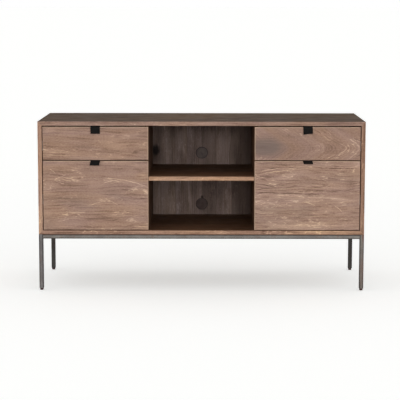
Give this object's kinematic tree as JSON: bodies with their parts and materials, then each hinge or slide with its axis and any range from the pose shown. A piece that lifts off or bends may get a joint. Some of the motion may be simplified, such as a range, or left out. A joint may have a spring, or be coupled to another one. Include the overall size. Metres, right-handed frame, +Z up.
{
  "type": "office credenza",
  "caption": "Wooden office credenza on a slim square-tube steel base, with drawers and leather pull tabs either side of an open shelved niche with cable ports.",
  "frame": {"origin": "on the floor, at the middle of the footprint, pull tabs included", "axes": "+X to the viewer's right along the length, +Y from the drawer fronts to the back, +Z up"},
  "size_m": [1.524, 0.5902, 0.795],
  "materials": {
    "case_wood": "matte washed brown wood with visible grain",
    "drawer_front_wood": "matte washed brown wood, horizontal figured grain",
    "back_panel_wood": "matte brown wood in upright staves with knots",
    "drawer_box_wood": "clear satin hardwood",
    "base_steel": "waxed gunmetal steel",
    "zinc_plated_steel": "bright zinc plate",
    "aluminium_rail": "satin",
    "black_leather": "matte black leather",
    "foot_plastic": "moulded dark nylon",
    "insert_plastic": "moulded black nylon",
    "port_plug": "moulded dark brown plastic"
  },
  "bodies": {
    "case": {"top_panel": "case_wood", "bottom_panel": "case_wood", "side_panel_left": "case_wood", "divider_left": "case_wood", "side_panel_right": "case_wood", "divider_right": "case_wood", "niche_shelf": "case_wood", "back_panel": "back_panel_wood", "base_rail_front": "base_steel", "base_rail_back": "base_steel", "base_side_rails": "base_steel", "base_cross_rails": "base_steel", "leg_end_inserts": "insert_plastic", "base_leg_front_left": "base_steel", "base_leg_back_left": "base_steel", "base_leg_front_right": "base_steel", "base_leg_back_right": "base_steel", "upper_left_slide_cabinet_members": "zinc_plated_steel", "upper_right_slide_cabinet_members": "zinc_plated_steel", "lower_left_slide_cabinet_members": "zinc_plated_steel", "lower_right_slide_cabinet_members": "zinc_plated_steel"},
    "cable_port_plug_upper": {"cable_port_plug_upper": "port_plug"},
    "cable_port_plug_lower": {"cable_port_plug_lower": "port_plug"},
    "levelling_foot_front_left": {"levelling_foot_front_left": "foot_plastic"},
    "levelling_foot_back_left": {"levelling_foot_back_left": "foot_plastic"},
    "levelling_foot_front_right": {"levelling_foot_front_right": "foot_plastic"},
    "levelling_foot_back_right": {"levelling_foot_back_right": "foot_plastic"},
    "upper_left_drawer": {"upper_left_drawer_front": "drawer_front_wood", "upper_left_pull_tab": "black_leather", "upper_left_box_sides": "drawer_box_wood", "upper_left_box_ends": "drawer_box_wood", "upper_left_box_bottom": "drawer_box_wood", "upper_left_slide_drawer_members": "zinc_plated_steel"},
    "upper_left_slide_middle": {"upper_left_slide_middle_members": "zinc_plated_steel"},
    "upper_right_drawer": {"upper_right_drawer_front": "drawer_front_wood", "upper_right_pull_tab": "black_leather", "upper_right_box_sides": "drawer_box_wood", "upper_right_box_ends": "drawer_box_wood", "upper_right_box_bottom": "drawer_box_wood", "upper_right_slide_drawer_members": "zinc_plated_steel"},
    "upper_right_slide_middle": {"upper_right_slide_middle_members": "zinc_plated_steel"},
    "lower_left_drawer": {"lower_left_drawer_front": "drawer_front_wood", "lower_left_pull_tab": "black_leather", "lower_left_box_sides": "drawer_box_wood", "lower_left_box_ends": "drawer_box_wood", "lower_left_box_bottom": "drawer_box_wood", "lower_left_hanging_file_rails": "aluminium_rail", "lower_left_slide_drawer_members": "zinc_plated_steel"},
    "lower_left_slide_middle": {"lower_left_slide_middle_members": "zinc_plated_steel"},
    "lower_right_drawer": {"lower_right_drawer_front": "drawer_front_wood", "lower_right_pull_tab": "black_leather", "lower_right_box_sides": "drawer_box_wood", "lower_right_box_ends": "drawer_box_wood", "lower_right_box_bottom": "drawer_box_wood", "lower_right_hanging_file_rails": "aluminium_rail", "lower_right_slide_drawer_members": "zinc_plated_steel"},
    "lower_right_slide_middle": {"lower_right_slide_middle_members": "zinc_plated_steel"}
  },
  "joints": [
    {"name": "upper_left_drawer_slide", "type": "slide", "parent": "case", "child": "upper_left_drawer", "axis": [0, -1, 0], "range_m": [0, 0.48]},
    {"name": "upper_left_slide_middle_slide", "type": "slide", "parent": "case", "child": "upper_left_slide_middle", "axis": [0, -1, 0], "range_m": [0, 0.24]},
    {"name": "lower_left_drawer_slide", "type": "slide", "parent": "case", "child": "lower_left_drawer", "axis": [0, -1, 0], "range_m": [0, 0.48]},
    {"name": "lower_left_slide_middle_slide", "type": "slide", "parent": "case", "child": "lower_left_slide_middle", "axis": [0, -1, 0], "range_m": [0, 0.24]},
    {"name": "upper_right_drawer_slide", "type": "slide", "parent": "case", "child": "upper_right_drawer", "axis": [0, -1, 0], "range_m": [0, 0.48]},
    {"name": "upper_right_slide_middle_slide", "type": "slide", "parent": "case", "child": "upper_right_slide_middle", "axis": [0, -1, 0], "range_m": [0, 0.24]},
    {"name": "lower_right_drawer_slide", "type": "slide", "parent": "case", "child": "lower_right_drawer", "axis": [0, -1, 0], "range_m": [0, 0.48]},
    {"name": "lower_right_slide_middle_slide", "type": "slide", "parent": "case", "child": "lower_right_slide_middle", "axis": [0, -1, 0], "range_m": [0, 0.24]},
    {"name": "levelling_foot_front_left_turn", "type": "hinge", "parent": "case", "child": "levelling_foot_front_left", "pos_m": [-0.752, -0.25385, 0], "axis": [0, 0, 1], "range_deg": [0, 2880]},
    {"name": "levelling_foot_back_left_turn", "type": "hinge", "parent": "case", "child": "levelling_foot_back_left", "pos_m": [-0.752, 0.28515, 0], "axis": [0, 0, 1], "range_deg": [0, 2880]},
    {"name": "levelling_foot_front_right_turn", "type": "hinge", "parent": "case", "child": "levelling_foot_front_right", "pos_m": [0.752, -0.25385, 0], "axis": [0, 0, 1], "range_deg": [0, 2880]},
    {"name": "levelling_foot_back_right_turn", "type": "hinge", "parent": "case", "child": "levelling_foot_back_right", "pos_m": [0.752, 0.28515, 0], "axis": [0, 0, 1], "range_deg": [0, 2880]},
    {"name": "cable_port_plug_upper_pull", "type": "slide", "parent": "case", "child": "cable_port_plug_upper", "axis": [0, 1, 0], "range_m": [0, 0.03]},
    {"name": "cable_port_plug_lower_pull", "type": "slide", "parent": "case", "child": "cable_port_plug_lower", "axis": [0, 1, 0], "range_m": [0, 0.03]}
  ],
  "couplings": [
    {"joint": "upper_left_slide_middle_slide", "follows": "upper_left_drawer_slide", "ratio": 0.5},
    {"joint": "lower_left_slide_middle_slide", "follows": "lower_left_drawer_slide", "ratio": 0.5},
    {"joint": "upper_right_slide_middle_slide", "follows": "upper_right_drawer_slide", "ratio": 0.5},
    {"joint": "lower_right_slide_middle_slide", "follows": "lower_right_drawer_slide", "ratio": 0.5}
  ]
}
